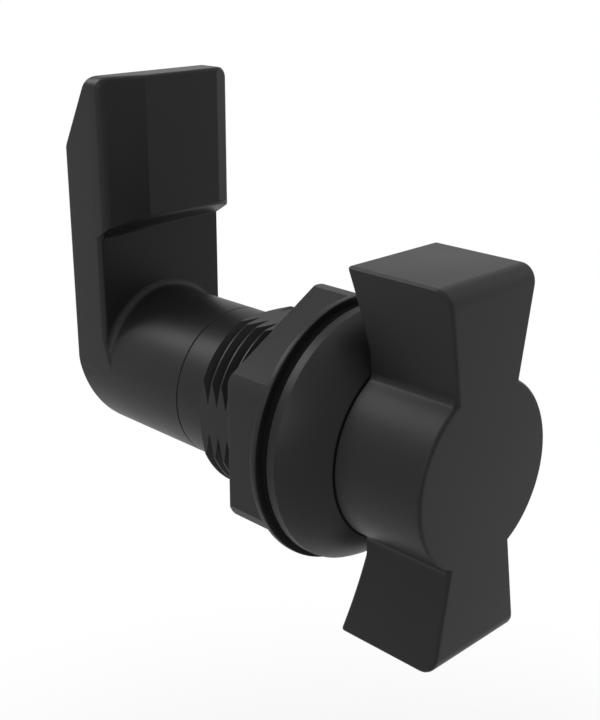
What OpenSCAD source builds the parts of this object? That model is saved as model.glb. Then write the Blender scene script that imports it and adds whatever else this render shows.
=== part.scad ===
// Quarter-turn cam latch with a wing knob, for a 22 mm panel hole with four flats.
// The latch axis is Y: the knob is at -Y, the cam at +Y, and the cam points up (+Z) when closed.
// The origin is on the axis, in the plane of the panel's outer face.

/* [Threaded barrel] */
// Outside diameter of the barrel's thread
thread_d = 22; // [21:0.1:24]
// Depth of each of the four flats below the thread's crests
flat_depth = 0.95; // [0.6:0.05:1.3]
// Length of the barrel behind the panel face, up to its lead-in cone
barrel_len = 13.85; // [11:0.05:20]
// Length of the lead-in cone at the barrel's end
lead_in = 1.35; // [0.8:0.05:2]
// Step from the thread's crests down to the smooth neck behind the barrel
neck_inset = 1.75; // [1.5:0.05:2.2]
// Length of the smooth neck
neck_len = 4.4; // [4:0.1:8]

/* [Flange] */
// How far the flange and its gasket reach out past the thread
flange_lip = 3.5; // [2.5:0.1:5]
// Height of the flange's straight rim
rim_t = 1.2; // [0.8:0.1:2]
// Thickness of the gasket
gasket_t = 0.9; // [0.6:0.1:2]
// Height of the domed dish, from the rim to its front face
dish_h = 4.5; // [3.6:0.1:6]
// How far the dish's side leans in, from the rim to its flat front face
dish_lean = 3.9; // [3:0.1:4]
// How far the dish bulges out of a straight cone
dish_bulge = 0.35; // [0.1:0.05:0.6]

/* [Wing knob] */
// Step from the dish's front face in to the knob's drum
drum_inset = 0.2; // [0.1:0.05:0.4]
// Height of the drum
drum_h = 11; // [10:0.1:14]
// Gap between the drum and the dish
knob_gap = 0.3; // [0.2:0.05:0.5]
// Length over both wing tips
wing_span = 41.6; // [38:0.1:50]
// Width of a wing at its tip
wing_tip_w = 14.1; // [12:0.1:16]
// Width of a wing where it meets the drum
wing_root_w = 10.1; // [9:0.1:12]
// How far the wing tips reach back past the drum
wing_flare = 2.2; // [1:0.1:3]
// Hollow of the wing's back edge, measured from a straight line
wing_hollow = 0.18; // [0.05:0.01:0.4]
// Radius between a wing's tip and the front face
tip_round = 2; // [1:0.1:2.6]
// Wall of the cored wings
knob_wall = 1.9; // [1.5:0.1:2.4]
// Thickness of the ribs in the cored wings
knob_rib = 1.4; // [1:0.1:2]

/* [Spindle] */
// Wall of the smooth neck around the spindle's bore
neck_wall = 3.2; // [3:0.1:3.6]
// Radial play of the spindle in the bore
spindle_play = 0.05; // [0.03:0.01:0.09]
// Length of the spindle's moulded-in hexagon head
head_len = 7; // [5:0.1:8]
// How far the corners of the square that carries the cam stay inside the spindle
square_inset = 0.343; // [0.2:0.001:0.6]
// Cord diameter of the spindle's O-ring
cord_d = 1.4; // [1.2:0.05:1.6]
// Diameter of a detent ball
ball_d = 3; // [2.6:0.1:3.4]

/* [Stop] */
// Turn of the latch between its stops, in degrees
turn = 90; // [60:5:100]
// Width of the stop lug, in degrees
lug_angle = 36; // [24:1:40]
// Height of the stop lug
lug_h = 2; // [1.4:0.1:2.4]

/* [Cam] */
// Length of the cam's round hub
hub_len = 13.4; // [10:0.1:20]
// Thickness of the cam's arm
arm_t = 6.3; // [5.6:0.1:8]
// Height of the arm's top above the axis
arm_top = 36; // [32:0.1:50]
// Height where the arm's back starts to slope forward
slope_z = 26.5; // [22:0.1:28]
// How far the arm's top has sloped forward
slope_depth = 5.2; // [2:0.1:5.4]
// Radius between the arm's top and its sloping back
top_round = 3.2; // [1:0.1:3.6]
// Radius of the arm's two upper corners, seen from the front
corner_round = 1.4; // [0.8:0.1:2.4]
// Radius of the arm's long edges, at the back and at the left in front
edge_round = 0.7; // [0.3:0.05:1]
// How far the catch stands out of the arm
catch_out = 2.9; // [1.5:0.1:4]
// Height of the catch's lower edge on the arm
catch_z = 17.4; // [15:0.1:20]
// How far the catch's underside rises to its front face
catch_rise = 1.8; // [0.8:0.1:2.5]
// How far the lead-in ramp stands out of the arm at its low side
ramp_low = 1.15; // [0.6:0.05:1.4]
// Width of the lead-in ramp
ramp_w = 5.5; // [4:0.1:8]
// Width of the bevel on the catch's other side
bevel_w = 2; // [1:0.1:3]
// Depth of that bevel
bevel_depth = 0.5; // [0.2:0.05:1]
// Side of the blend between hub and arm
hub_blend = 0.9; // [0.5:0.1:1.4]
// Height where the back starts to slope forward again, down to the hub's underside
heel_z = 2; // [0.5:0.1:4]
// How far the hub's underside stays short of the back
heel_depth = 3.9; // [2:0.1:5]
// Radius between that slope and the hub's underside
heel_round = 5.5; // [3:0.1:6.5]

/* [Nut] */
// Wall of the nut from the thread's crests to its flats
nut_wall = 2.5; // [2:0.1:3.5]
// How far the nut's collar and turned corners reach out past its flats
nut_lip = 1.7; // [1.3:0.1:1.9]
// Whole height of the nut
nut_h = 6; // [4:0.1:8]
// Height of the nut's round collar
nut_collar_h = 0.75; // [0.5:0.05:1.5]
// Radial play of the nut's bore around the thread
nut_play = 0.15; // [0.1:0.05:0.4]

/* [Cam screw] */
// Wall between the cam screw's thread and the flats of the spindle's square
screw_wall = 1; // [0.9:0.05:1.4]
// How far the screw's head lies below the arm's back
screw_inset = 2.6; // [2:0.1:3.5]
// Length of the screw under its head
screw_len = 12; // [10:0.5:14]
// How far the flats of the screw's head stand out from its thread
screw_lip = 2; // [1.5:0.1:2.2]
// Height of the screw's head
screw_head_h = 4; // [3:0.1:4.4]
// How far the washers under the head stand out from the screw's thread
washer_lip = 3; // [2.8:0.1:3.3]
// Thickness of each of the two washers
washer_t = 1.6; // [1:0.1:1.8]

/* [Hidden] */
$fn = 96;

// Overrun of every cut
cut = 1;
// Play between pieces that are put together by hand
fit_play = 0.1;
// Free space between pieces that pass each other
run_gap = 0.3;

// Diameters that follow the thread, from the flange and the nut down to the cam screw
flats_w = thread_d - 2 * flat_depth;
neck_d = thread_d - 2 * neck_inset;
flange_d = thread_d + 2 * flange_lip;
dish_top_d = flange_d - 2 * dish_lean;
drum_d = dish_top_d - 2 * drum_inset;
nut_af = thread_d + 2 * nut_wall;
nut_collar_d = nut_af + 2 * nut_lip;
spindle_d = neck_d - 2 * (neck_wall + spindle_play);
square_w = (spindle_d - 2 * square_inset) / sqrt(2);
screw_d = square_w - 2 * screw_wall;
screw_af = screw_d + 2 * screw_lip;
washer_d = screw_d + 2 * washer_lip;

// Places along the latch axis, from the knob to the cam
rim_back = -gasket_t;
rim_front = rim_back - rim_t;
dish_front = rim_front - dish_h;
drum_back = dish_front - knob_gap;
knob_front = drum_back - drum_h;
cone_end = barrel_len + lead_in;
neck_end = cone_end + neck_len;
hub_front = neck_end + fit_play;
arm_front = hub_front + hub_len;
arm_back = arm_front + arm_t;
catch_front = arm_front - catch_out;

// Bore of the housing, its counterbores and the spindle in it
bore_r = spindle_d / 2 + spindle_play;
washer_seat = 0.8;
glide_t = knob_gap + washer_seat;
glide_w = 1.5;
shoulder_wall = 1.65;
neck_bore_r = neck_d / 2 - shoulder_wall;
thrust_t = 1;
ring_t = 1;
ring_w = 1.2;
ring_bite = 0.35;
neck_recess = thrust_t + ring_t + run_gap + ring_t;
shoulder_y = neck_end - neck_recess;
ring_y = shoulder_y + thrust_t + fit_play;
ring_gap_angle = 50;

// Seal groove and detent of the spindle
groove_play = 0.3;
groove_w = cord_d + 2 * groove_play;
groove_y = rim_front - groove_w / 2;
detent_y = 5;
detent_depth = 0.65;
pit_play = 0.1;
spring_wire = 0.4;
spring_turns = 4;
head_neck = 0.7;

// Stop lug on the dish and its track in the knob
lug_in = bore_r + glide_w + 2 * run_gap;
lug_w = 1.2;
track_in = lug_in - run_gap;
track_out = lug_in + lug_w + run_gap;
track_depth = lug_h - knob_gap + run_gap;
stop_angle = 0.5;
down_angle = -90;

// Screw seat at the back of the cam
screw_seat = arm_back - screw_inset - screw_head_h - 2 * washer_t;
seat_r = washer_d / 2 + 2 * run_gap;
spindle_end = screw_seat - run_gap;
thread_hole_r = screw_d / 2 + spindle_play;

// Turns a profile of radius and place along the axis into a solid on the latch axis
module turned() rotate([-90, 0, 0]) rotate_extrude() children();

// A round bar on the latch axis
module bar(r, y0, y1) translate([0, y0, 0]) rotate([-90, 0, 0]) cylinder(r = r, h = y1 - y0);

// A cone on the latch axis
module cone(r0, r1, y0, y1)
    translate([0, y0, 0]) rotate([-90, 0, 0]) cylinder(r1 = r0, r2 = r1, h = y1 - y0);

// A front-view outline, X across and Z up, given depth along the axis
module front_prism(y0, y1)
    translate([0, y1, 0]) rotate([90, 0, 0]) linear_extrude(y1 - y0) children();

// A side-view outline, Y across and Z up, given width along X
module side_prism(x0, x1)
    translate([x0, 0, 0]) rotate([90, 0, 90]) linear_extrude(x1 - x0) children();

// The two points where an arc of radius r starts and ends in an outline's corner
function arc_ends(before, corner, after, r) =
    let (u = (before - corner) / norm(before - corner), v = (after - corner) / norm(after - corner),
         run = r / tan(acos(u * v) / 2))
    [corner + u * run, corner + v * run];

// The circle that fills that corner between the two points
module arc_disc(before, corner, after, r) {
    u = (before - corner) / norm(before - corner);
    v = (after - corner) / norm(after - corner);
    translate(corner + (u + v) / norm(u + v) * r / sin(acos(u * v) / 2)) circle(r = r);
}

// A sector of the front view between two angles, wide enough for any cut
module sector(a0, a1, r)
    polygon(concat([[0, 0]], [for (i = [0:8]) let (a = a0 + (a1 - a0) * i / 8)
        r / cos((a1 - a0) / 16) * [cos(a), sin(a)]]));

// A ring-shaped arc in the front view
module arc_band(r0, r1, a0, a1)
    intersection() {
        difference() {
            circle(r = r1);
            circle(r = r0);
        }
        sector(a0, a1, r1 + cut);
    }

// Profile of the dish: a cone whose side bulges on a large arc
module dish_profile() {
    low = [flange_d / 2, rim_front];
    top = [dish_top_d / 2, dish_front];
    chord = norm(top - low);
    arc_r = (chord * chord / 4 + dish_bulge * dish_bulge) / (2 * dish_bulge);
    middle = (low + top) / 2;
    inward = [low[1] - top[1], top[0] - low[0]] / chord;
    centre = middle - (arc_r - dish_bulge) * [abs(inward[0]), -abs(inward[1])];
    polygon([[0, rim_back], [low[0], rim_back], low, top, [0, top[1]]]);
    intersection() {
        translate(centre) circle(r = arc_r, $fn = 240);
        polygon([[0, low[1]], low, [low[0], top[1]], [0, top[1]]]);
    }
}

// Barrel, round with four flats and a lead-in cone
module barrel() {
    intersection() {
        union() {
            bar(thread_d / 2, rim_back - cut / 2, barrel_len);
            cone(thread_d / 2, neck_d / 2, barrel_len, cone_end);
        }
        front_prism(rim_back - cut, cone_end + cut) square(flats_w, center = true);
    }
}

module detent_channel(angle)
    rotate([0, angle, 0])
        translate([bore_r + detent_depth - ball_d / 2 - pit_play, 0, 0])
            bar(ball_d / 2 + pit_play, detent_y - ball_d / 2 - run_gap, shoulder_y + cut / 2);

module stop_lug()
    front_prism(dish_front - lug_h, dish_front + cut / 2)
        arc_band(lug_in, lug_in + lug_w, down_angle - (turn + lug_angle) / 2,
                 down_angle - (turn - lug_angle) / 2);

module housing() {
    color([0.16, 0.16, 0.17])
        difference() {
            union() {
                turned() dish_profile();
                barrel();
                bar(neck_d / 2, rim_back - cut / 2, neck_end);
                stop_lug();
            }
            bar(bore_r, dish_front - cut - lug_h, neck_end + cut);
            bar(bore_r + glide_w, dish_front - cut, dish_front + washer_seat);
            bar(neck_bore_r, shoulder_y, neck_end + cut);
            for (i = [0:3]) detent_channel(90 * i);
        }
}

module flange_gasket() {
    color([0.06, 0.06, 0.06])
        difference() {
            bar(flange_d / 2, rim_back, 0);
            bar(thread_d / 2 + nut_play, rim_back - cut, cut);
        }
}

module glide_washer() {
    color([0.85, 0.84, 0.8])
        difference() {
            bar(bore_r + glide_w - fit_play, dish_front + washer_seat - glide_t, dish_front + washer_seat);
            bar(bore_r + fit_play / 2, dish_front - cut, dish_front + washer_seat + cut);
        }
}

module thrust_washer() {
    color([0.7, 0.7, 0.72])
        difference() {
            bar(neck_bore_r - fit_play, shoulder_y, shoulder_y + thrust_t);
            bar(bore_r + fit_play / 2, shoulder_y - cut, shoulder_y + thrust_t + cut);
        }
}

// Front view of one wing, a dovetail from the axis to the tip
module wing_outline(inset = 0) {
    root_z = sqrt(pow(drum_d / 2, 2) - pow(wing_root_w / 2, 2));
    slope = (wing_tip_w - wing_root_w) / 2 / (wing_span / 2 - root_z);
    foot = wing_root_w / 2 - slope * root_z - inset;
    tip = wing_tip_w / 2 - inset - slope * inset;
    top = wing_span / 2 - inset;
    polygon([[-foot, 0], [foot, 0], [tip, top], [-tip, top]]);
}

// Side view of one wing: flat front, round front corner and a slightly hollow back edge
module wing_side() {
    tip_z = wing_span / 2;
    tip_back = drum_back + wing_flare;
    foot = [drum_back, drum_d / 2];
    tip = [tip_back, tip_z];
    chord = norm(tip - foot);
    arc_r = (chord * chord / 4 + wing_hollow * wing_hollow) / (2 * wing_hollow);
    along = (tip - foot) / chord;
    centre = (foot + tip) / 2 + (arc_r - wing_hollow) * [along[1], -along[0]];
    difference() {
        union() {
            polygon([[knob_front, 0], [drum_back, 0], foot, tip, [knob_front + tip_round, tip_z],
                     [knob_front, tip_z - tip_round]]);
            translate([knob_front + tip_round, tip_z - tip_round]) circle(r = tip_round);
        }
        translate(centre) circle(r = arc_r, $fn = 720);
    }
}

module wing() {
    half = wing_tip_w / 2 + cut;
    intersection() {
        front_prism(knob_front - cut, drum_back + wing_flare + cut) wing_outline();
        side_prism(-half, half) wing_side();
    }
}

// Pockets that core a wing from behind, one on each side of its middle rib
module wing_pockets() {
    floor_y = knob_front + knob_wall + tip_round / 2;
    pocket_foot = drum_d / 2 + knob_wall / 2;
    middle_z = (pocket_foot + wing_span / 2 - knob_wall) / 2;
    front_prism(floor_y, drum_back + wing_flare + cut)
        intersection() {
            wing_outline(knob_wall);
            for (side = [-1, 1], row = [0, 1])
                translate([side > 0 ? knob_rib / 2 : -wing_tip_w,
                           row > 0 ? middle_z + knob_rib / 2 : pocket_foot])
                    square([wing_tip_w - (side > 0 ? 0 : knob_rib / 2),
                            row > 0 ? wing_span : middle_z - knob_rib / 2 - pocket_foot]);
        }
}

// Arc track for the stop lug, and the coring groove opposite it
module stop_track() {
    half = (turn + lug_angle) / 2 + stop_angle;
    front_prism(drum_back - track_depth, drum_back + cut)
        for (middle = [down_angle, -down_angle])
            arc_band(track_in, track_out, middle - half, middle + half);
}

// Hexagon head of the spindle, with the groove that locks it in the moulding
module spindle_head() {
    head_front = drum_back - head_len;
    difference() {
        front_prism(head_front, drum_back) rotate(30) circle(d = spindle_d / cos(30), $fn = 6);
        difference() {
            bar(spindle_d, head_front + head_len / 3, head_front + head_len / 2);
            bar(spindle_d / 2 - head_neck, head_front, drum_back);
        }
    }
}

module wing_knob() {
    color([0.16, 0.16, 0.17])
        difference() {
            union() {
                bar(drum_d / 2, knob_front, drum_back);
                wing();
                mirror([0, 0, 1]) wing();
            }
            wing_pockets();
            mirror([0, 0, 1]) wing_pockets();
            stop_track();
            spindle_head();
        }
}

module spindle() {
    color([0.72, 0.72, 0.74])
        difference() {
            union() {
                spindle_head();
                bar(spindle_d / 2, drum_back, neck_end - run_gap);
                front_prism(neck_end - run_gap - cut, spindle_end) square(square_w, center = true);
            }
            difference() {
                bar(spindle_d, groove_y - groove_w / 2, groove_y + groove_w / 2);
                bar(spindle_d / 2 - cord_d, groove_y - groove_w, groove_y + groove_w);
            }
            difference() {
                bar(spindle_d, ring_y - fit_play / 2, ring_y + ring_t + fit_play / 2);
                bar(spindle_d / 2 - ring_bite, ring_y - cut, ring_y + ring_t + cut);
            }
            translate([-spindle_d, detent_y, 0]) rotate([0, 90, 0])
                cylinder(r = ball_d / 2 + spindle_play, h = 2 * spindle_d);
            bar(thread_hole_r, screw_seat + 2 * washer_t - screw_len - cut, spindle_end + cut);
        }
}

module spindle_o_ring() {
    color([0.05, 0.05, 0.05])
        translate([0, groove_y, 0]) rotate([-90, 0, 0])
            rotate_extrude() translate([spindle_d / 2 - cord_d / 2, 0]) circle(d = cord_d);
}

module detent_balls() {
    color([0.8, 0.8, 0.82])
        for (side = [-1, 1])
            translate([side * (spindle_d / 2 - ball_d / 2), detent_y, 0]) sphere(d = ball_d);
}

// Compression spring between the balls, a round wire swept along a helix
module detent_spring() {
    wire_sides = 6;
    steps = 12 * spring_turns;
    coil_r = ball_d / 2 - spring_wire;
    room = spindle_d - 2 * ball_d - spring_wire;
    ring = function (k)
        let (a = 360 * spring_turns * k / steps, x = room * (k / steps - 1 / 2))
        [for (j = [0:wire_sides - 1]) let (b = 360 * j / wire_sides,
            r = coil_r + spring_wire / 2 * cos(b))
            [x + spring_wire / 2 * sin(b), r * cos(a), r * sin(a)]];
    points = [for (k = [0:steps]) each ring(k)];
    sides = [for (k = [0:steps - 1], j = [0:wire_sides - 1])
        let (n = (j + 1) % wire_sides, p = k * wire_sides)
        [p + j, p + n, p + n + wire_sides, p + j + wire_sides]];
    ends = [[for (j = [wire_sides - 1:-1:0]) j], [for (j = [0:wire_sides - 1]) steps * wire_sides + j]];
    color([0.75, 0.75, 0.77])
        translate([0, detent_y, 0]) polyhedron(points, concat(sides, ends), convexity = 10);
}

module retaining_ring() {
    color([0.5, 0.5, 0.52])
        front_prism(ring_y, ring_y + ring_t)
            difference() {
                circle(r = spindle_d / 2 - ring_bite + fit_play / 2 + ring_w);
                circle(r = spindle_d / 2 - ring_bite + fit_play / 2);
                sector(90 - ring_gap_angle / 2, 90 + ring_gap_angle / 2, spindle_d);
            }
}

// Top view of the catch, seen along Z: ramp at -X, flat in the middle, bevel at +X
module catch_outline() {
    half = neck_d / 2;
    inside = [-half, arm_front + arm_t / 2];
    low_side = [-half, arm_front - ramp_low];
    ridge = [ramp_w - half, catch_front];
    polygon(concat(
        [inside], arc_ends(inside, low_side, ridge, edge_round),
        [ridge, [half - bevel_w, catch_front], [half, catch_front + bevel_depth],
         [half, arm_front + arm_t / 2]]));
    arc_disc(inside, low_side, ridge, edge_round);
}

// Top view of the arm, seen along Z, with three of its long edges rounded
module arm_outline() {
    half = neck_d / 2;
    corners = [[half, arm_front], [-half, arm_front], [-half, arm_back], [half, arm_back],
               [half, arm_front]];
    polygon(concat([corners[0]], [for (i = [1:3])
        each arc_ends(corners[i - 1], corners[i], corners[i + 1], edge_round)]));
    for (i = [1:3]) arc_disc(corners[i - 1], corners[i], corners[i + 1], edge_round);
}

// Front view of the arm, with its upper corners rounded
module arm_face() {
    half = neck_d / 2;
    corners = [[half, 0], [half, arm_top], [-half, arm_top], [-half, 0]];
    polygon(concat([corners[0]], [for (i = [1:2])
        each arc_ends(corners[i - 1], corners[i], corners[i + 1], corner_round)], [corners[3]]));
    for (i = [1:2]) arc_disc(corners[i - 1], corners[i], corners[i + 1], corner_round);
}

// Side view of the cam's back, Y across and Z up: slopes at both ends of the straight back
module cam_side() {
    low = -neck_d / 2 - run_gap;
    front = hub_front - cut;
    heel = [arm_back - heel_depth, low];
    top = [arm_back - slope_depth, arm_top];
    polygon(concat(
        [[front, arm_top], [front, low]],
        arc_ends([front, low], heel, [arm_back, heel_z], heel_round),
        [[arm_back, heel_z], [arm_back, slope_z]],
        arc_ends([arm_back, slope_z], top, [front, arm_top], top_round)));
    arc_disc([front, low], heel, [arm_back, heel_z], heel_round);
    arc_disc([arm_back, slope_z], top, [front, arm_top], top_round);
}

// Side view of the arm's front with the catch, up to the middle of the arm
module catch_side() {
    inside = arm_front + arm_t / 2;
    polygon([[inside, catch_z], [inside, arm_top + cut], [catch_front - cut, arm_top + cut],
             [catch_front - cut, catch_z + catch_rise * (1 + cut / catch_out)], [arm_front, catch_z]]);
}

module cam_arm() {
    half = neck_d / 2 + cut;
    intersection() {
        front_prism(catch_front - cut, arm_back + cut) arm_face();
        union() {
            linear_extrude(arm_top + cut) arm_outline();
            intersection() {
                side_prism(-half, half) catch_side();
                linear_extrude(arm_top + cut) catch_outline();
            }
        }
    }
}

// Hub: a round bar whose lower half runs on under the arm
module cam_hub() {
    half = neck_d / 2;
    bar(half, hub_front, arm_front + edge_round);
    intersection() {
        bar(half, hub_front, arm_back);
        translate([-half - cut, hub_front - cut, -half - cut])
            cube([2 * half + 2 * cut, arm_back - hub_front + 2 * cut, half + cut]);
    }
}

// Blend between the hub and the arm's front
module cam_blend() {
    half = neck_d / 2;
    intersection() {
        cone(half, half + hub_blend, arm_front - hub_blend, arm_front);
        translate([-half, 0, 0]) cube([neck_d, arm_back, arm_top]);
    }
}

module cam() {
    half = neck_d / 2;
    color([0.16, 0.16, 0.17])
        difference() {
            intersection() {
                side_prism(-half - cut, half + cut) cam_side();
                union() {
                    cam_hub();
                    cam_arm();
                    cam_blend();
                }
            }
            front_prism(hub_front - cut, arm_back)
                square(square_w + fit_play, center = true);
            bar(seat_r, screw_seat, arm_back + cut);
        }
}

module cam_washer() {
    color([0.78, 0.78, 0.8])
        difference() {
            bar(washer_d / 2, screw_seat, screw_seat + washer_t);
            bar(screw_d / 2 + 2 * fit_play, screw_seat - cut, screw_seat + washer_t + cut);
        }
}

// Split washer: the slit leans, as it does on a coiled washer
module cam_lock_washer() {
    slit = washer_t / 2;
    lean = 20;
    color([0.6, 0.6, 0.62])
        difference() {
            bar(washer_d / 2 - fit_play, screw_seat + washer_t, screw_seat + 2 * washer_t);
            bar(screw_d / 2 + fit_play, screw_seat, screw_seat + 3 * washer_t);
            translate([0, screw_seat + 3 * washer_t / 2, washer_d / 2]) rotate([0, 0, lean])
                cube([slit, 3 * washer_t, washer_d], center = true);
        }
}

module cam_screw() {
    seat = screw_seat + 2 * washer_t;
    color([0.78, 0.78, 0.8]) {
        bar(screw_d / 2, seat - screw_len, seat + screw_head_h / 2);
        intersection() {
            front_prism(seat, seat + screw_head_h) circle(d = screw_af / cos(30), $fn = 6);
            cone(screw_af / 2 + screw_head_h, screw_af / 2 - fit_play, seat, seat + screw_head_h);
        }
    }
}

module fixing_nut() {
    bore = thread_d / 2 + nut_play;
    bevel = nut_collar_h;
    color([0.16, 0.16, 0.17])
        difference() {
            union() {
                bar(nut_collar_d / 2, 0, nut_collar_h);
                intersection() {
                    front_prism(nut_collar_h / 2, nut_h)
                        rotate(30) circle(d = nut_af / cos(30), $fn = 6);
                    bar(nut_collar_d / 2, 0, nut_h);
                }
            }
            bar(bore, -cut, nut_h + cut);
            cone(bore + bevel, bore, -bevel / 2, bevel / 2);
            cone(bore, bore + bevel, nut_h - bevel / 2, nut_h + bevel / 2);
        }
}

housing();
flange_gasket();
glide_washer();
thrust_washer();
wing_knob();
spindle();
spindle_o_ring();
detent_balls();
detent_spring();
retaining_ring();
cam();
cam_washer();
cam_lock_washer();
cam_screw();
fixing_nut();
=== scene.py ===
import math

import bmesh
import bpy
from mathutils import Matrix, Vector


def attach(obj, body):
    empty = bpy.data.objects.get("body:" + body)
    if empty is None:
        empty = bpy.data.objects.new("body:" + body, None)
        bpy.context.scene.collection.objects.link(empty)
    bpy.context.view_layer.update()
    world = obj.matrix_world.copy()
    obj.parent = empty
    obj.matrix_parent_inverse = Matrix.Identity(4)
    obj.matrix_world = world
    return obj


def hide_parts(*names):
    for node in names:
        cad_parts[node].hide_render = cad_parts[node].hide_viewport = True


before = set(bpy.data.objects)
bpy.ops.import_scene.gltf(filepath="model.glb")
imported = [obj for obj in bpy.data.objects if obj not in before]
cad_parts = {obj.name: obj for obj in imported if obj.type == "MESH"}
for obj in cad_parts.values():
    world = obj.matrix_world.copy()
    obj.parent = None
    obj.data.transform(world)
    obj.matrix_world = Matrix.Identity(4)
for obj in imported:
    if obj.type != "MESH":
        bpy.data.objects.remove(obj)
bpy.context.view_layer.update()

# Camera.
# It stands to the left of the knob, in front of the panel and a little above it, where the
# photograph was taken from. Its angles and distance come from a fit to the latch's edges.
MM = 0.001
azimuth, elevation, roll = -45.188, 19.962, 0.175
focal_pixels, picture_pixels, film = 1209.587, 720, 36
camera_turn = (Matrix.Rotation(math.radians(azimuth), 4, "Z")
               @ Matrix.Rotation(math.radians(90 - elevation), 4, "X")
               @ Matrix.Rotation(math.radians(roll), 4, "Z"))
camera_data = bpy.data.cameras.new("camera")
camera_data.sensor_fit = "AUTO"
camera_data.sensor_width = film
camera_data.lens = film * focal_pixels / picture_pixels
camera_data.clip_start = 0.005
camera_data.clip_end = 20
camera = bpy.data.objects.new("camera", camera_data)
camera.matrix_world = camera_turn @ Matrix.Translation(Vector((-6.069, 7.432, 134.155)) * MM)
bpy.context.scene.collection.objects.link(camera)
bpy.context.scene.camera = camera

# Studio.
# A pale floor well below the latch, which hangs free as if the panel held it, a soft lamp high
# up behind, weaker ones overhead, left and in front, a tall one on the right, and an even surround.
scene = bpy.context.scene
scene.view_settings.view_transform = "Standard"

bpy.ops.object.select_all(action="DESELECT")
bpy.ops.mesh.primitive_circle_add(vertices=96, radius=4, fill_type="NGON", location=(0, 0, -0.1))
floor = bpy.context.object
floor.name = "floor"
bpy.ops.object.transform_apply(location=True, rotation=True, scale=True)


class Wire:
    """A value on its way through a finish; arithmetic on it adds Math nodes."""

    def __init__(self, finish, socket):
        self.finish, self.socket = finish, socket

    def math(self, operation, *values):
        return self.finish.node("ShaderNodeMath", {"operation": operation}, dict(enumerate(values)))

    def __add__(self, other):
        return self.math("ADD", self, other)

    def __mul__(self, other):
        return self.math("MULTIPLY", self, other)

    __radd__, __rmul__ = __add__, __mul__


class Finish:
    """A material, its shader, and one method that adds any other node."""

    def __init__(self, name, colour, roughness, metallic=0.0):
        self.material = bpy.data.materials.new(name)
        self.material.use_nodes = True
        self.tree = self.material.node_tree
        self.shader = self.tree.nodes["Principled BSDF"]
        self.shader.inputs["Base Color"].default_value = (*colour, 1)
        self.shader.inputs["Roughness"].default_value = roughness
        self.shader.inputs["Metallic"].default_value = metallic
        self.place = self.node("ShaderNodeTexCoord", {}, {}, "Object")

    def node(self, kind, settings, values, output=0):
        made = self.tree.nodes.new(kind)
        for key, value in settings.items():
            setattr(made, key, value)
        for key, value in values.items():
            if isinstance(value, Wire):
                self.tree.links.new(value.socket, made.inputs[key])
            else:
                made.inputs[key].default_value = value
        return Wire(self, made.outputs[output])

    def noise(self, scale, detail=2.0, roughness=0.5, place=None):
        return self.node("ShaderNodeTexNoise", {}, {
            "Vector": place or self.place, "Scale": scale, "Detail": detail,
            "Roughness": roughness}, "Fac")

    def between(self, share, low, high):
        return self.node("ShaderNodeMapRange", {}, {
            "Value": share, "From Min": 0.3, "From Max": 0.7, "To Min": low, "To Max": high})

    def mixed(self, share, first, second):
        made = self.tree.nodes.new("ShaderNodeMix")
        made.data_type = "RGBA"
        self.tree.links.new(share.socket, made.inputs[0])
        made.inputs[6].default_value = (*first, 1)
        made.inputs[7].default_value = (*second, 1)
        return Wire(self, made.outputs[2])

    def drive(self, name, wire):
        self.tree.links.new(wire.socket, self.shader.inputs[name])

    def bump(self, height, strength, depth):
        self.drive("Normal", self.node("ShaderNodeBump", {}, {
            "Height": height, "Strength": strength, "Distance": depth}))

    def on(self, *pieces):
        for piece in pieces:
            piece.data.materials.clear()
            piece.data.materials.append(self.material)


def white_share(finish, share):
    """A share of white for the camera and for what mirrors or lets through the surround."""
    path = finish.node("ShaderNodeLightPath", {}, {}).socket.node
    seen = [Wire(finish, path.outputs[name]) for name in
            ("Is Camera Ray", "Is Glossy Ray", "Is Transmission Ray")]
    either = finish.node("ShaderNodeMath", {"operation": "MAXIMUM"}, {0: seen[0], 1: seen[1]})
    return finish.node("ShaderNodeMath", {"operation": "MAXIMUM"}, {0: either, 1: seen[2]}) * share


# The floor is a matt pale sheet that turns to plain white away from the latch.
pale_floor = Finish("pale_floor", (0.8, 0.8, 0.8), 0.9)
reach = Wire(pale_floor, pale_floor.node("ShaderNodeVectorMath", {"operation": "LENGTH"},
                                         {0: pale_floor.place}).socket.node.outputs["Value"])
fade = pale_floor.node("ShaderNodeMapRange", {"interpolation_type": "SMOOTHSTEP"}, {
    "Value": reach, "From Min": 0.1, "From Max": 0.17, "To Min": 0.5, "To Max": 1.0})
plain_white = pale_floor.node("ShaderNodeEmission", {}, {"Color": (1, 1, 1, 1), "Strength": 1.0})
floor_surface = pale_floor.node("ShaderNodeMixShader", {}, {
    0: white_share(pale_floor, fade),
    1: Wire(pale_floor, pale_floor.shader.outputs[0]),
    2: plain_white})
pale_floor.tree.links.new(floor_surface.socket, pale_floor.tree.nodes["Material Output"].inputs[0])
pale_floor.on(floor)

world = bpy.data.worlds.new("studio")
scene.world = world
world.use_nodes = True
surround = Finish.__new__(Finish)
surround.tree = world.node_tree
world_light = surround.tree.nodes["Background"]
world_light.inputs["Color"].default_value = (1, 1, 1, 1)
world_light.inputs["Strength"].default_value = 0.45
world_white = surround.node("ShaderNodeBackground", {}, {"Color": (1, 1, 1, 1), "Strength": 1.0})
world_surface = surround.node("ShaderNodeMixShader", {}, {
    0: white_share(surround, 1.0), 1: Wire(surround, world_light.outputs[0]), 2: world_white})
surround.tree.links.new(world_surface.socket, surround.tree.nodes["World Output"].inputs[0])


def soft_lamp(name, place, width, height, watts):
    lamp = bpy.data.lights.new(name, "AREA")
    lamp.shape = "RECTANGLE"
    lamp.size, lamp.size_y = width, height
    lamp.energy = watts
    holder = bpy.data.objects.new(name, lamp)
    holder.location = place
    holder.rotation_euler = (-Vector(place)).to_track_quat("-Z", "Y").to_euler()
    scene.collection.objects.link(holder)
    return holder


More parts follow.
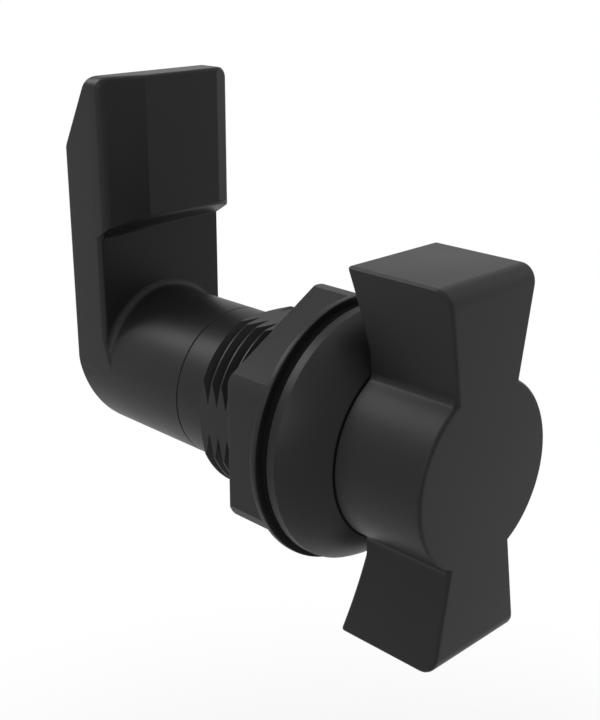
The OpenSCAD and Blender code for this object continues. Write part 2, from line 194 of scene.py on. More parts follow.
soft_lamp("lamp_overhead", (0.02, 0.03, 0.7), 0.5, 0.5, 1)
soft_lamp("lamp_behind", (-0.2, 0.5, 0.45), 0.3, 0.3, 2.2)
soft_lamp("lamp_left", (-0.7, -0.1, 0.25), 0.44, 0.44, 1.5)
soft_lamp("lamp_front", (0.1, -0.8, 0.2), 0.44, 0.44, 0.1)
soft_lamp("lamp_right", (0.64, -0.19, 0.02), 0.2, 1.1, 0.7)

# Housing: flange dish, threaded barrel and smooth neck.
# One injection moulding of glass-filled black nylon. The barrel goes through the panel, with
# four flats that keep it from turning in the hole, and the thread for the nut is moulded on it.


def outline_rounded(corners):
    """Corners given as (x, y, radius), with an arc drawn in each that has a radius."""
    points = []
    for k, (x, y, radius) in enumerate(corners):
        here = Vector((x, y))
        if not radius:
            points.append((x, y))
            continue
        before = (Vector(corners[k - 1][:2]) - here).normalized()
        after = (Vector(corners[(k + 1) % len(corners)][:2]) - here).normalized()
        half = before.angle(after) / 2
        middle = here + (before + after).normalized() * radius / math.sin(half)
        start = here + before * radius / math.tan(half) - middle
        sweep = start.angle_signed(here + after * radius / math.tan(half) - middle)
        steps = max(4, round(3 * radius))
        for step in range(steps + 1):
            turn = -sweep * step / steps
            points.append((middle.x + start.x * math.cos(turn) - start.y * math.sin(turn),
                           middle.y + start.x * math.sin(turn) + start.y * math.cos(turn)))
    return points


def select_where(piece, test):
    """In edit mode, selects the vertices whose place in mm passes the test."""
    mesh = bmesh.from_edit_mesh(piece.data)
    for vertex in mesh.verts:
        vertex.select = bool(test(vertex.co / MM))
    mesh.select_flush_mode()
    mesh.select_flush(True)
    bmesh.update_edit_mesh(piece.data)


def lathed(name, corners, steps=128, angle=360, start_angle=0):
    """Spins a closed profile of (radius, place along the axis, corner radius) in mm."""
    profile = outline_rounded(corners)
    bpy.ops.object.select_all(action="DESELECT")
    bpy.ops.mesh.primitive_plane_add(size=MM, location=(profile[0][0] * MM, profile[0][1] * MM, 0))
    piece = bpy.context.object
    piece.name = name
    bpy.ops.object.mode_set(mode="EDIT")
    bpy.ops.mesh.select_mode(type="VERT")
    bpy.ops.mesh.select_all(action="SELECT")
    bpy.ops.mesh.merge(type="CENTER")
    for (r0, y0), (r1, y1) in zip(profile, profile[1:]):
        bpy.ops.mesh.extrude_region_move(
            TRANSFORM_OT_translate={"value": ((r1 - r0) * MM, (y1 - y0) * MM, 0)})
    bpy.ops.mesh.select_all(action="SELECT")
    bpy.ops.mesh.edge_face_add()
    if angle == 360:
        bpy.ops.mesh.delete(type="ONLY_FACE")
        bpy.ops.mesh.select_all(action="SELECT")
    if start_angle:
        bpy.ops.transform.rotate(value=math.radians(start_angle), orient_axis="Y",
                                 center_override=(0, 0, 0))
    bpy.ops.mesh.spin(steps=steps, angle=math.radians(angle), center=(0, 0, 0), axis=(0, 1, 0))
    bpy.ops.mesh.select_all(action="SELECT")
    bpy.ops.mesh.remove_doubles(threshold=0.001 * MM)
    bpy.ops.mesh.delete_loose()
    bpy.ops.mesh.select_all(action="SELECT")
    bpy.ops.mesh.normals_make_consistent(inside=False)
    bpy.ops.object.mode_set(mode="OBJECT")
    bpy.ops.object.transform_apply(location=True, rotation=True, scale=True)
    return piece


def only(piece):
    """Selects one piece alone and makes it the active one."""
    bpy.ops.object.select_all(action="DESELECT")
    bpy.context.view_layer.objects.active = piece
    piece.select_set(True)


def cut_or_joined(piece, tool, operation):
    """Applies a Boolean of the tool to the piece, and takes the tool away."""
    modifier = piece.modifiers.new(operation.lower(), "BOOLEAN")
    modifier.operation = operation
    modifier.solver = "EXACT"
    modifier.object = tool
    only(piece)
    bpy.ops.object.modifier_apply(modifier=modifier.name)
    bpy.data.objects.remove(tool)
    return piece


def tidied(piece):
    """Merges doubles and joins faces that lie in one plane."""
    only(piece)
    bpy.ops.object.mode_set(mode="EDIT")
    bpy.ops.mesh.select_all(action="SELECT")
    bpy.ops.mesh.remove_doubles(threshold=0.01 * MM)
    bpy.ops.mesh.dissolve_limited(angle_limit=math.radians(0.1))
    bpy.ops.mesh.normals_make_consistent(inside=False)
    bpy.ops.object.mode_set(mode="OBJECT")
    return piece


def shaded(piece, crisp=None):
    """Shades smooth up to 25 degrees, with flat faces kept flat beside their rounds, and with
    crisp borders around the faces whose normal passes the test."""
    only(piece)
    bpy.ops.object.shade_smooth_by_angle(angle=math.radians(25))
    if crisp:
        shape = bmesh.new()
        shape.from_mesh(piece.data)
        for edge in shape.edges:
            if len({bool(crisp(face.normal)) for face in edge.link_faces}) == 2:
                edge.smooth = False
        shape.to_mesh(piece.data)
        shape.free()
    evened = piece.modifiers.new("evened", "WEIGHTED_NORMAL")
    evened.keep_sharp = True
    bpy.ops.object.modifier_apply(modifier="evened")
    return piece


crest_r, root_r, pitch = 11.0, 10.2, 1.5
crest_w, root_w = 0.14, 0.2
flat_half, flat_middle = 10.05, 7
barrel_end, cone_end, neck_end, neck_r = 13.85, 15.2, 19.6, 9.25

# The thread is a ridge swept along a helix; its phase makes a crest pass the left flat's upper
# edge as far behind the panel as in the photograph.
crest_pass, crest_angle, turns_before, turns = 10.9, 156.3, 8, 11
ridge_sunk, ridge_over = 0.3, 0.05
ridge_foot = root_r - ridge_sunk
foot_half = (pitch - root_w) / 2
crest_half = crest_w / 2
ridge_start = crest_pass + pitch * crest_angle / 360 - turns_before * pitch
bpy.ops.object.select_all(action="DESELECT")
bpy.ops.mesh.primitive_plane_add(
    size=MM, location=(ridge_foot * MM, (ridge_start - foot_half) * MM, 0))
thread = bpy.context.object
thread.name = "thread"
bpy.ops.object.mode_set(mode="EDIT")
bpy.ops.mesh.select_mode(type="VERT")
bpy.ops.mesh.select_all(action="SELECT")
bpy.ops.mesh.merge(type="CENTER")
for dr, dy in ((ridge_sunk, 0), (crest_r + ridge_over - root_r, foot_half - crest_half),
               (0, crest_w), (root_r - crest_r - ridge_over, foot_half - crest_half),
               (-ridge_sunk, 0)):
    bpy.ops.mesh.extrude_region_move(TRANSFORM_OT_translate={"value": (dr * MM, dy * MM, 0)})
bpy.ops.mesh.select_all(action="SELECT")
bpy.ops.mesh.edge_face_add()
bpy.ops.mesh.delete(type="ONLY_FACE")
bpy.ops.object.mode_set(mode="OBJECT")
bpy.ops.object.transform_apply(location=True, rotation=True, scale=True)
sweep = thread.modifiers.new("helix", "SCREW")
sweep.axis = "Y"
sweep.angle = math.tau
sweep.screw_offset = pitch * MM
sweep.iterations = turns
sweep.steps = sweep.render_steps = 72
bpy.ops.object.modifier_apply(modifier="helix")
bpy.ops.object.mode_set(mode="EDIT")
bpy.ops.mesh.select_all(action="DESELECT")
bpy.ops.mesh.select_non_manifold()
bpy.ops.mesh.fill_holes(sides=0)
bpy.ops.mesh.select_all(action="SELECT")
bpy.ops.mesh.normals_make_consistent(inside=False)
bpy.ops.object.mode_set(mode="OBJECT")

# The turned seams keep the three shapes' edges apart, and the cone runs on into the neck. What
# lies in front of the flange's back or inside the neck is lost in the housing's own wall.
core_r, core_start, core_end, envelope_r, envelope_start = 8, -1.2, cone_end + 0.4, 7, -1.1
into_neck = 0.25
barrel = lathed("barrel", [
    (core_r, core_start, 0), (root_r, core_start, 0), (root_r, core_end, 0), (core_r, core_end, 0)],
    start_angle=1.3)
cut_or_joined(barrel, thread, "UNION")
cone_foot = cone_end + into_neck * (cone_end - barrel_end) / (crest_r - neck_r)
cut_or_joined(barrel, lathed("envelope", [
    (envelope_r, envelope_start, 0), (crest_r, envelope_start, 0), (crest_r, barrel_end, 0),
    (neck_r - into_neck, cone_foot, 0), (envelope_r, cone_foot, 0)], start_angle=0.6), "INTERSECT")
bpy.ops.object.select_all(action="DESELECT")
bpy.ops.mesh.primitive_cube_add(size=2 * flat_half * MM, location=(0, flat_middle * MM, 0))
flats = bpy.context.object
bpy.ops.object.transform_apply(location=True, rotation=True, scale=True)
cut_or_joined(barrel, flats, "INTERSECT")

# Flange dish and neck in one profile, with the glide washer's seat in front and the recess for
# the retaining ring behind.
bore_r, washer_r, washer_seat, recess_r, shoulder_y = 6.05, 7.55, -5.8, 7.6, 16.3
flange_r, flange_back, rim_front = 14.5, -0.9, -2.1
dish_top_r, dish_front, bulge = 10.6, -6.6, 0.35
dish_low, dish_top = Vector((flange_r, rim_front)), Vector((dish_top_r, dish_front))
chord = dish_top - dish_low
dish_side = []
for k in range(1, 10):
    share = k / 10
    out = Vector((-chord.y, chord.x)).normalized() * bulge * 4 * share * (1 - share)
    point = dish_low + chord * share + out
    dish_side.append((point.x, point.y, 0))
housing = lathed("housing_moulding", [
    (bore_r, washer_seat, 0), (bore_r, shoulder_y, 0), (recess_r, shoulder_y, 0),
    (recess_r, neck_end, 0.15), (neck_r, neck_end, 0.1), (neck_r, flange_back, 0),
    (flange_r, flange_back, 0.15), (flange_r, rim_front, 0.3), *dish_side,
    (dish_top_r, dish_front, 0.1), (washer_r, dish_front, 0.1), (washer_r, washer_seat, 0)])
cut_or_joined(housing, barrel, "UNION")

# The stop lug stands on the dish, behind the knob, and four channels in the bore catch the balls.
lug_in, lug_out, lug_front, lug_back, lug_sweep, lug_start = 7.85, 9.05, -8.6, -6.3, 36, 117
cut_or_joined(housing, lathed("stop_lug", [
    (lug_in, lug_front, 0.2), (lug_out, lug_front, 0.2), (lug_out, lug_back, 0), (lug_in, lug_back, 0)],
    24, lug_sweep, lug_start), "UNION")
channel_r, channel_out, channel_length, channel_middle = 1.6, 5.1, 13.6, 10
for k in range(4):
    turn = k * math.pi / 2
    bpy.ops.object.select_all(action="DESELECT")
    bpy.ops.mesh.primitive_cylinder_add(
        vertices=24, radius=channel_r * MM, depth=channel_length * MM, rotation=(math.pi / 2, 0, 0),
        location=(channel_out * MM * math.cos(turn), channel_middle * MM,
                  channel_out * MM * math.sin(turn)))
    channel = bpy.context.object
    bpy.ops.object.transform_apply(location=True, rotation=True, scale=True)
    cut_or_joined(housing, channel, "DIFFERENCE")
shaded(tidied(housing), lambda normal: max(abs(normal.x), abs(normal.z)) > 0.99999)

# Moulded nylon: nearly black, satin, with a fine eroded grain from the mould and a slow change
# of gloss where the melt met the steel.
black_nylon = Finish("black_nylon", (0.009, 0.009, 0.0093), 0.42)
black_nylon.shader.inputs["IOR"].default_value = 1.27
grain = black_nylon.noise(5200, 3, 0.55)
cloudy = black_nylon.noise(90, 2, 0.5)
black_nylon.drive("Base Color", black_nylon.mixed(
    black_nylon.between(cloudy, 0, 1), (0.008, 0.008, 0.0083), (0.0105, 0.0105, 0.0108)))
black_nylon.drive("Roughness", black_nylon.between(cloudy * 0.6 + grain * 0.4, 0.38, 0.47))
black_nylon.bump(grain, 0.12, 0.02 * MM)
black_nylon.on(housing)
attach(housing, "housing_body")
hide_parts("housing")

# Gasket between flange and panel.
# A flat ring of closed-cell foam rubber, stamped from sheet and pushed over the barrel. Its cut
# edge is matt and a little waisted where the flange squeezes it.
gasket_in, waist = 11.15, ((14.42, -0.3, 0), (14.4, -0.5, 0), (14.44, -0.7, 0))
gasket = lathed("gasket_ring", [
    (gasket_in, flange_back, 0), (gasket_in, 0, 0), (flange_r, 0, 0.1), *waist,
    (flange_r, flange_back, 0)])
shaded(tidied(gasket))
gasket_foam = Finish("gasket_foam", (0.006, 0.006, 0.006), 0.9)
gasket_foam.shader.inputs["Specular IOR Level"].default_value = 0.05
cells = gasket_foam.noise(4200, 2, 0.6)
gasket_foam.drive("Base Color", gasket_foam.mixed(
    cells, (0.003, 0.003, 0.003), (0.006, 0.006, 0.006)))
gasket_foam.bump(cells, 0.4, 0.05 * MM)
gasket_foam.on(gasket)
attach(gasket, "housing_body")
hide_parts("flange_gasket")

# Wing knob.
# A round drum with two dovetail wings, one black nylon moulding over the spindle's hexagon head.
# The tips are rounded for the fingers, and the wings are cored from behind.
drum_r, drum_front, drum_back, drum_sides = 10.4, -17.9, -6.8, 124
wing_top, tip_half = 20.8, 7.05
root_angle = math.tau * 10 / drum_sides
root_half, root_z = drum_r * math.sin(root_angle), drum_r * math.cos(root_angle)
tip_back, hollow, foot_z, wing_steps = -4.7, 0.18, 3.0, 9
tip_round, edge_round, root_round, least_bend = 2.0, 0.45, 0.7, 35


def half_width(z):
    return root_half + (tip_half - root_half) * (z - root_z) / (wing_top - root_z)


def near(value, goal):
    return abs(value - goal) < 0.05


bpy.ops.object.select_all(action="DESELECT")
bpy.ops.mesh.primitive_cube_add(size=1, location=(
    0, (drum_front + drum_back) / 2 * MM, (foot_z + wing_top) / 2 * MM))
wing = bpy.context.object
wing.name = "wing"
bpy.ops.transform.resize(value=(2 * MM, (drum_back - drum_front) * MM, (wing_top - foot_z) * MM))
bpy.ops.object.transform_apply(location=True, rotation=True, scale=True)
bpy.ops.object.mode_set(mode="EDIT")
bpy.ops.mesh.select_mode(type="VERT")
for z in (foot_z, wing_top):
    select_where(wing, lambda place: near(place.z, z))
    bpy.ops.transform.resize(value=(half_width(z), 1, 1), center_override=(0, 0, 0))
for k in range(wing_steps):
    z = drum_r + (wing_top - drum_r) * k / wing_steps
    bpy.ops.mesh.select_all(action="SELECT")
    bpy.ops.mesh.bisect(plane_co=(0, 0, z * MM), plane_no=(0, 0, 1))
for k in range(1, wing_steps + 1):
    share = k / wing_steps
    z = drum_r + (wing_top - drum_r) * share
    select_where(wing, lambda place: near(place.z, z) and near(place.y, drum_back))
    bpy.ops.transform.translate(value=(0, MM * (
        (tip_back - drum_back) * share - 4 * hollow * share * (1 - share)), 0))
bpy.ops.mesh.select_all(action="SELECT")
bpy.ops.mesh.normals_make_consistent(inside=False)
bpy.ops.object.mode_set(mode="OBJECT")

only(wing)
bpy.ops.object.duplicate()
lower_wing = bpy.context.object
bpy.ops.transform.resize(value=(1, 1, -1), center_override=(0, 0, 0))
bpy.ops.object.transform_apply(location=True, rotation=True, scale=True)
bpy.ops.object.mode_set(mode="EDIT")
bpy.ops.mesh.select_all(action="SELECT")
bpy.ops.mesh.normals_make_consistent(inside=False)
bpy.ops.object.mode_set(mode="OBJECT")

bpy.ops.object.select_all(action="DESELECT")
bpy.ops.mesh.primitive_cylinder_add(
    vertices=drum_sides, radius=drum_r * MM, depth=(drum_back - drum_front) * MM,
    location=(0, (drum_front + drum_back) / 2 * MM, 0), rotation=(math.pi / 2, 0, 0))
knob = bpy.context.object
knob.name = "wing_knob_moulding"
bpy.ops.object.transform_apply(location=True, rotation=True, scale=True)
cut_or_joined(knob, wing, "UNION")
cut_or_joined(knob, lower_wing, "UNION")
tidied(knob)


def edges_rounded(piece, radius, segments, share):
    """Rounds each edge by a share of the radius, worked out from its two ends in mm and its
    outward bend in degrees."""
    shape = bmesh.new()
    shape.from_mesh(piece.data)
    weight = (shape.edges.layers.float.get("bevel_weight_edge")
              or shape.edges.layers.float.new("bevel_weight_edge"))
    for edge in shape.edges:
        edge[weight] = 0
        if len(edge.link_faces) == 2:
            ends = [vertex.co / MM for vertex in edge.verts]
            edge[weight] = float(share(*ends, math.degrees(edge.calc_face_angle_signed())))
    shape.to_mesh(piece.data)
    shape.free()
    rounds = piece.modifiers.new("rounds", "BEVEL")
    rounds.limit_method = "WEIGHT"
    rounds.width = radius * MM
    rounds.segments = segments
    rounds.use_clamp_overlap = False
    only(piece)
    bpy.ops.object.modifier_apply(modifier="rounds")


edges_rounded(knob, tip_round, 8, lambda a, b, bend: (
    near(abs(a.z), wing_top) and near(abs(b.z), wing_top)
    and near(a.y, drum_front) and near(b.y, drum_front)))
edges_rounded(knob, edge_round, 3, lambda a, b, bend: (
    bend > least_bend and not (near(a.y, drum_back) and near(b.y, drum_back))))
edges_rounded(knob, root_round, 4, lambda a, b, bend: (
    bend < -least_bend and abs(a.y - b.y) > 6 and abs(a.xz.length - drum_r) < 0.3))

# Coring from behind: two pockets on each side of a middle rib in each wing, the stop track and
# its twin groove, and the moulded seat around the spindle's hexagon head.
wall, rib, pocket_floor, pocket_open, pocket_round = 1.9, 1.4, -15.0, -2, 0.4
pocket_foot = drum_r + wall / 2
pocket_middle = (pocket_foot + wing_top - wall) / 2
pocket_spans = ((pocket_foot, pocket_middle - rib / 2), (pocket_middle + rib / 2, wing_top - wall))
for up in (1, -1):
    for side in (1, -1):
        for low, high in pocket_spans:
            bpy.ops.object.select_all(action="DESELECT")
            bpy.ops.mesh.primitive_cube_add(size=MM, location=(
                0.5 * MM, (pocket_floor + pocket_open) / 2 * MM, (low + high) / 2 * MM))
            pocket = bpy.context.object
            bpy.ops.transform.resize(value=(1, pocket_open - pocket_floor, high - low))
            bpy.ops.object.transform_apply(location=True, rotation=True, scale=True)
            bpy.ops.object.mode_set(mode="EDIT")
            bpy.ops.mesh.select_mode(type="VERT")
            for x, z, goal in ((0, low, rib / 2), (0, high, rib / 2),
                               (1, low, half_width(low) - wall), (1, high, half_width(high) - wall)):
                select_where(pocket, lambda place: near(place.x, x) and near(place.z, z))
                bpy.ops.transform.translate(value=((goal - x) * MM, 0, 0))
            bpy.ops.mesh.select_all(action="DESELECT")
            mesh = bmesh.from_edit_mesh(pocket.data)
            for edge in mesh.edges:
                a, b = (vertex.co / MM for vertex in edge.verts)
                edge.select = min(a.y, b.y) < pocket_floor + 0.1
            bmesh.update_edit_mesh(pocket.data)
            bpy.ops.mesh.select_mode(type="EDGE")
            bpy.ops.mesh.bevel(offset=pocket_round * MM, segments=3, affect="EDGES")
            bpy.ops.mesh.select_mode(type="VERT")
            bpy.ops.object.mode_set(mode="OBJECT")
            bpy.ops.transform.resize(value=(side, 1, up), center_override=(0, 0, 0))
            bpy.ops.object.transform_apply(location=True, rotation=True, scale=True)
            bpy.ops.object.mode_set(mode="EDIT")
            bpy.ops.mesh.select_all(action="SELECT")
            bpy.ops.mesh.normals_make_consistent(inside=False)
            bpy.ops.object.mode_set(mode="OBJECT")
            cut_or_joined(knob, pocket, "DIFFERENCE")
track_in, track_out, track_floor, track_open, track_sweep = 7.55, 9.35, -8.9, -5, 127
for middle in (90, -90):
    cut_or_joined(knob, lathed("track", [
        (track_in, track_floor, 0.2), (track_out, track_floor, 0.2), (track_out, track_open, 0),
        (track_in, track_open, 0)], 48, track_sweep, middle - track_sweep / 2), "DIFFERENCE")


def hexagon(name, half, low, high, turn=0):
    """A hexagonal bar along the axis, with half its width across flats and its ends in mm."""
    bpy.ops.object.select_all(action="DESELECT")
    bpy.ops.mesh.primitive_cylinder_add(
        vertices=6, radius=half / math.cos(math.pi / 6) * MM, depth=(high - low) * MM,
        location=(0, (low + high) / 2 * MM, 0), rotation=(math.pi / 2, turn, 0))
    bar = bpy.context.object
    bar.name = name
    bpy.ops.object.transform_apply(location=True, rotation=True, scale=True)
    return bar


seat_half, seat_front, seat_open = 6, -13.9, -4.9
cut_or_joined(knob, hexagon("head_seat", seat_half, seat_front, seat_open), "DIFFERENCE")
shaded(knob)
black_nylon.on(knob)
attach(knob, "latch_body")
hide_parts("wing_knob")

# Cam: round hub, square-edged arm and catch.
# One black nylon moulding. The hub sits on the spindle's square, the arm reaches up behind the
# door frame, and the raised catch has a lead-in ramp on the side that arrives first.
arm_front, arm_back, arm_top = 33.1, 39.4, 36.0
catch_out, catch_z, catch_rise = 2.9, 17.4, 1.8
slope_z, slope_depth = 26.5, 5.2
heel_y, heel_low, heel_z, heel_r = 35.5, -9.55, 2.0, 5.5
ramp_edge, ramp_out = -3.75, 1.15
bevel_edge, bevel_out = 7.25, 2.4
hub_foot, hub_in, back_round, blend = 19.7, 4, 0.7, 1.0
left_round, catch_round, corner_round, top_round = 0.8, 0.8, 1.4, 1.2


def box(name, low, high):
    """A block between two corners in mm."""
    bpy.ops.object.select_all(action="DESELECT")
    low, high = Vector(low), Vector(high)
    bpy.ops.mesh.primitive_cube_add(size=MM, location=(low + high) / 2 * MM)
    piece = bpy.context.object
    piece.name = name
    bpy.ops.transform.resize(value=high - low)
    bpy.ops.object.transform_apply(location=True, rotation=True, scale=True)
    return piece


def prism(name, along, low, high, corners):
    """Extrudes the view along one axis, of (place, place, corner radius) in mm, from low to high."""
    places = [Vector((*point[:along], low, *point[along:])) * MM for point in outline_rounded(corners)]
    bpy.ops.object.select_all(action="DESELECT")
    bpy.ops.mesh.primitive_plane_add(size=MM, location=places[0])
    piece = bpy.context.object
    piece.name = name
    bpy.ops.object.mode_set(mode="EDIT")
    bpy.ops.mesh.select_mode(type="VERT")
    bpy.ops.mesh.select_all(action="SELECT")
    bpy.ops.mesh.merge(type="CENTER")
    for here, there in zip(places, places[1:]):
        bpy.ops.mesh.extrude_region_move(TRANSFORM_OT_translate={"value": there - here})
    bpy.ops.mesh.select_all(action="SELECT")
    bpy.ops.mesh.edge_face_add()
    depth = Vector((0, 0, 0))
    depth[along] = (high - low) * MM
    bpy.ops.mesh.extrude_region_move(TRANSFORM_OT_translate={"value": depth})
    bpy.ops.mesh.select_all(action="SELECT")
    bpy.ops.mesh.normals_make_consistent(inside=False)
    bpy.ops.object.mode_set(mode="OBJECT")
    bpy.ops.object.transform_apply(location=True, rotation=True, scale=True)
    return piece


# The arm is drawn from above. The hub runs on under it, and a blend ring joins the hub's top to
# the arm's front. The long left edge is rounded, and its round runs out on the hub.
cam = prism("cam_moulding", 2, 0, arm_top + 1, [
    (-neck_r, arm_front, 0), (neck_r, arm_front, 0), (neck_r, arm_back, back_round),
    (-neck_r, arm_back, back_round)])
hub = lathed("hub", [
    (hub_in, hub_foot, 0), (neck_r, hub_foot, 0.1), (neck_r, arm_back, 0), (hub_in, arm_back, 0)])
cut_or_joined(hub, box("upper_back", (-10, arm_front + 0.7, 0), (10, 41, 10)), "DIFFERENCE")
ring_in, ring_back, blend_arc = 8, arm_front + 0.3, []
for k in range(1, 7):
    turn = math.radians(15 * k)
    blend_arc.append((neck_r + blend * (1 - math.cos(turn)),
                      arm_front - blend * (1 - math.sin(turn)), 0))
blend_ring = lathed("blend", [
    (ring_in, arm_front - blend, 0), (neck_r, arm_front - blend, 0), *blend_arc,
    (neck_r + blend, ring_back, 0), (ring_in, ring_back, 0)])
cut_or_joined(blend_ring, box("keep", (-neck_r, 20, 0), (neck_r, 40, 20)), "INTERSECT")
cut_or_joined(cam, hub, "UNION")
cut_or_joined(cam, blend_ring, "UNION")
tidied(cam)
edges_rounded(cam, left_round, 4, lambda a, b, bend: (
    bend > 20 and near(a.x, -neck_r) and near(b.x, -neck_r) and 31 < max(a.y, b.y) < 33.2
    and max(0, min(1, (a.z + b.z - 1) / 9))))

# The catch is drawn from above too, and its slanting underside from the side. Inside the arm it
# is a trace narrower and runs on, so that no two faces coincide.
catch_front, arm_middle, past = arm_front - catch_out, (arm_front + arm_back) / 2, 0.02
catch = prism("catch", 2, catch_z - 1, arm_top + 0.8, [
    (-neck_r, arm_front - ramp_out, 0), (ramp_edge, catch_front, 0), (bevel_edge, catch_front, 0),
    (neck_r, arm_front - bevel_out, 0), (neck_r - past, arm_middle, 0), (past - neck_r, arm_middle, 0)])
cut_or_joined(catch, prism("catch_side", 0, -10, 10, [
    (arm_middle + 1, arm_top + 2, 0), (catch_front - 1, arm_top + 2, 0),
    (catch_front - 1, catch_z + catch_rise * (1 + 1 / catch_out), 0),
    (arm_front + 1, catch_z - catch_rise / catch_out, 0),
    (arm_middle + 1, catch_z - catch_rise / catch_out, 0)]), "INTERSECT")
cut_or_joined(cam, catch, "UNION")

# Seen from the front the upper corners are round; seen from the side the back slopes at both
# ends. Both views pass a little outside the faces that other views make.
cut_or_joined(cam, prism("front_view", 1, 15, 42, [
    (-11, -11, 0), (11, -11, 0), (11, 5, 0), (neck_r + past, 12, 0),
    (neck_r + past, arm_top, corner_round), (-neck_r - past, arm_top, corner_round),
    (-neck_r - past, 12, 0), (-11, 5, 0)]), "INTERSECT")
heel_lean, slope_lean = (arm_back - heel_y) / (heel_z - heel_low), slope_depth / (arm_top - slope_z)
cut_or_joined(cam, prism("side_view", 0, -12, 12, [
    (15, heel_low, 0), (heel_y, heel_low, heel_r), (arm_back + 0.5, heel_z + 0.5 / heel_lean, 0),
    (arm_back + 0.5, slope_z - 0.5 / slope_lean, 0),
    (arm_back - slope_depth - past * slope_lean, arm_top + past, top_round),
    (arm_front - 1, arm_top + past, 0), (arm_front - 1, arm_top + 2, 0),
    (15, arm_top + 2, 0)]), "INTERSECT")
tidied(cam)

# The catch's borders, widest at the left, and its foot.
edges_rounded(cam, catch_round, 4, lambda a, b, bend: (
    max(0, bend > least_bend and min(a.z, b.z) > catch_z + 0.1 and max(a.y, b.y) < arm_front - 0.5
        and 0.56 + 0.44 * max(0, min(1, -(a.x + b.x) / 2.8 - 5.6)),
        0.6 * (bend < -20 and near(a.z, catch_z) and near(b.z, catch_z)))))

# Seat for the screw and its washers behind, and the square hole for the spindle.
recess_out, recess_floor, recess_open, square_w, square_middle = 6.6, 29.6, 42, 8.1, 26
cut_or_joined(cam, lathed("screw_seat", [
    (0, recess_floor, 0), (recess_out, recess_floor, 0.3), (recess_out, recess_open, 0),
    (0, recess_open, 0)]), "DIFFERENCE")
bpy.ops.object.select_all(action="DESELECT")
bpy.ops.mesh.primitive_cube_add(size=square_w * MM, location=(0, square_middle * MM, 0))
square = bpy.context.object
bpy.ops.transform.resize(value=(1, 2, 1))
bpy.ops.object.transform_apply(location=True, rotation=True, scale=True)
cut_or_joined(cam, square, "DIFFERENCE")
shaded(tidied(cam), lambda normal: (
    abs(normal.z) < 0.001 and normal.y < -0.94 and abs(normal.x) > 0.2))
black_nylon.on(cam)
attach(cam, "latch_body")
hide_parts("cam")

# Fixing nut.
# A black nylon hexagon nut with a round collar, moulded with the same thread, that draws the
# flange and gasket against the panel. Its corners are turned down to the collar's diameter.
nut_half, nut_h, collar_r, collar_h, collar_in = 13.5, 6.0, 15.2, 0.75, 9
nut_bore, nut_mouth, mouth_depth, rear_round = 11.15, 12.6, 0.45, 0.25
nut = hexagon("nut_moulding", nut_half, 0.3, nut_h)
edges_rounded(nut, rear_round, 3, lambda a, b, bend: near(a.y, nut_h) and near(b.y, nut_h))
cut_or_joined(nut, lathed("turned_corners", [
    (0, -1, 0), (collar_r, -1, 0), (collar_r, nut_h + 1, 0), (0, nut_h + 1, 0)]), "INTERSECT")
cut_or_joined(nut, lathed("collar", [
    (collar_in, 0, 0), (collar_r, 0, 0.15), (collar_r, collar_h, 0.15), (collar_in, collar_h, 0)]),
    "UNION")
cut_or_joined(nut, lathed("nut_bore", [
    (0, -1, 0), (nut_mouth, -1, 0), (nut_bore, mouth_depth, 0), (nut_bore, nut_h - mouth_depth, 0),
    (nut_mouth, nut_h + 1, 0), (0, nut_h + 1, 0)]), "DIFFERENCE")
shaded(tidied(nut))
black_nylon.on(nut)
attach(nut, "nut_body")
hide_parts("fixing_nut")

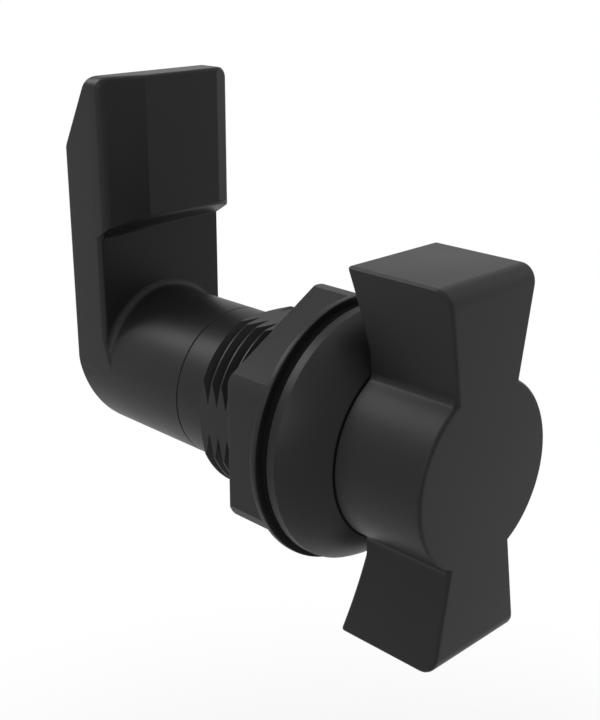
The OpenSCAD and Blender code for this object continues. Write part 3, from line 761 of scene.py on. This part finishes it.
# Spindle, detent, retaining ring and washers.
# Zinc-plated turned steel with a moulded-in hexagon head; the balls, ring and washers are
# bought parts. They show at the joints and in the screw seat only.
zinc_steel = Finish("zinc_steel", (0.42, 0.43, 0.44), 0.36, 1.0)
plating = zinc_steel.noise(700, 3, 0.6)
zinc_steel.drive("Base Color", zinc_steel.mixed(
    zinc_steel.between(plating, 0, 1), (0.38, 0.39, 0.41), (0.45, 0.45, 0.43)))
zinc_steel.drive("Roughness", zinc_steel.between(plating, 0.32, 0.42))
zinc_steel.bump(zinc_steel.noise(3000, 2, 0.5), 0.1, 0.01 * MM)
bright_steel = Finish("bright_steel", (0.7, 0.7, 0.71), 0.15, 1.0)
bright_steel.drive("Roughness", bright_steel.between(bright_steel.noise(900, 2, 0.5), 0.1, 0.2))
spring_steel = Finish("spring_steel", (0.35, 0.35, 0.37), 0.35, 1.0)
spring_steel.drive("Roughness", spring_steel.between(spring_steel.noise(1500, 2, 0.5), 0.28, 0.42))
seal_rubber = Finish("seal_rubber", (0.012, 0.012, 0.012), 0.55)
seal_rubber.bump(seal_rubber.noise(4000, 2, 0.5), 0.2, 0.02 * MM)
acetal = Finish("acetal", (0.72, 0.71, 0.67), 0.35)
acetal.drive("Roughness", acetal.between(acetal.noise(600, 2, 0.5), 0.3, 0.42))
for name, finish in (("spindle", zinc_steel), ("cam_washer", zinc_steel),
                     ("cam_lock_washer", spring_steel), ("retaining_ring", spring_steel),
                     ("detent_spring", spring_steel), ("detent_balls", bright_steel),
                     ("thrust_washer", zinc_steel), ("glide_washer", acetal),
                     ("spindle_o_ring", seal_rubber)):
    finish.on(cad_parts[name])

# Cam screw.
# A zinc-plated hexagon-head screw, forged with a shallow dish in its head and turned to a
# chamfer, that clamps the cam on the spindle's square.
head_foot, head_top, head_half, blank_r = 32.8, 36.8, 5.0, 6
shank_r, shank_end, shank_chamfer = 3.0, 20.8, 0.5
top_r, chamfer_depth, head_dish_r, head_dish_foot, head_dish_depth = 4.75, 0.65, 3.4, 3.0, 0.3
screw = lathed("hexagon_screw", [
    (0, shank_end, 0), (shank_r - shank_chamfer, shank_end, 0),
    (shank_r, shank_end + shank_chamfer, 0), (shank_r, head_foot, 0), (blank_r, head_foot, 0),
    (blank_r, head_top - chamfer_depth, 0), (top_r, head_top, 0.1), (head_dish_r, head_top, 0.1),
    (head_dish_foot, head_top - head_dish_depth, 0.1), (0, head_top - head_dish_depth, 0)], 96)
cut_or_joined(screw, hexagon("head_sides", head_half, 10, 50, math.pi / 6), "INTERSECT")
shaded(tidied(screw))
zinc_steel.on(screw)
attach(screw, "latch_body")
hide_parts("cam_screw")
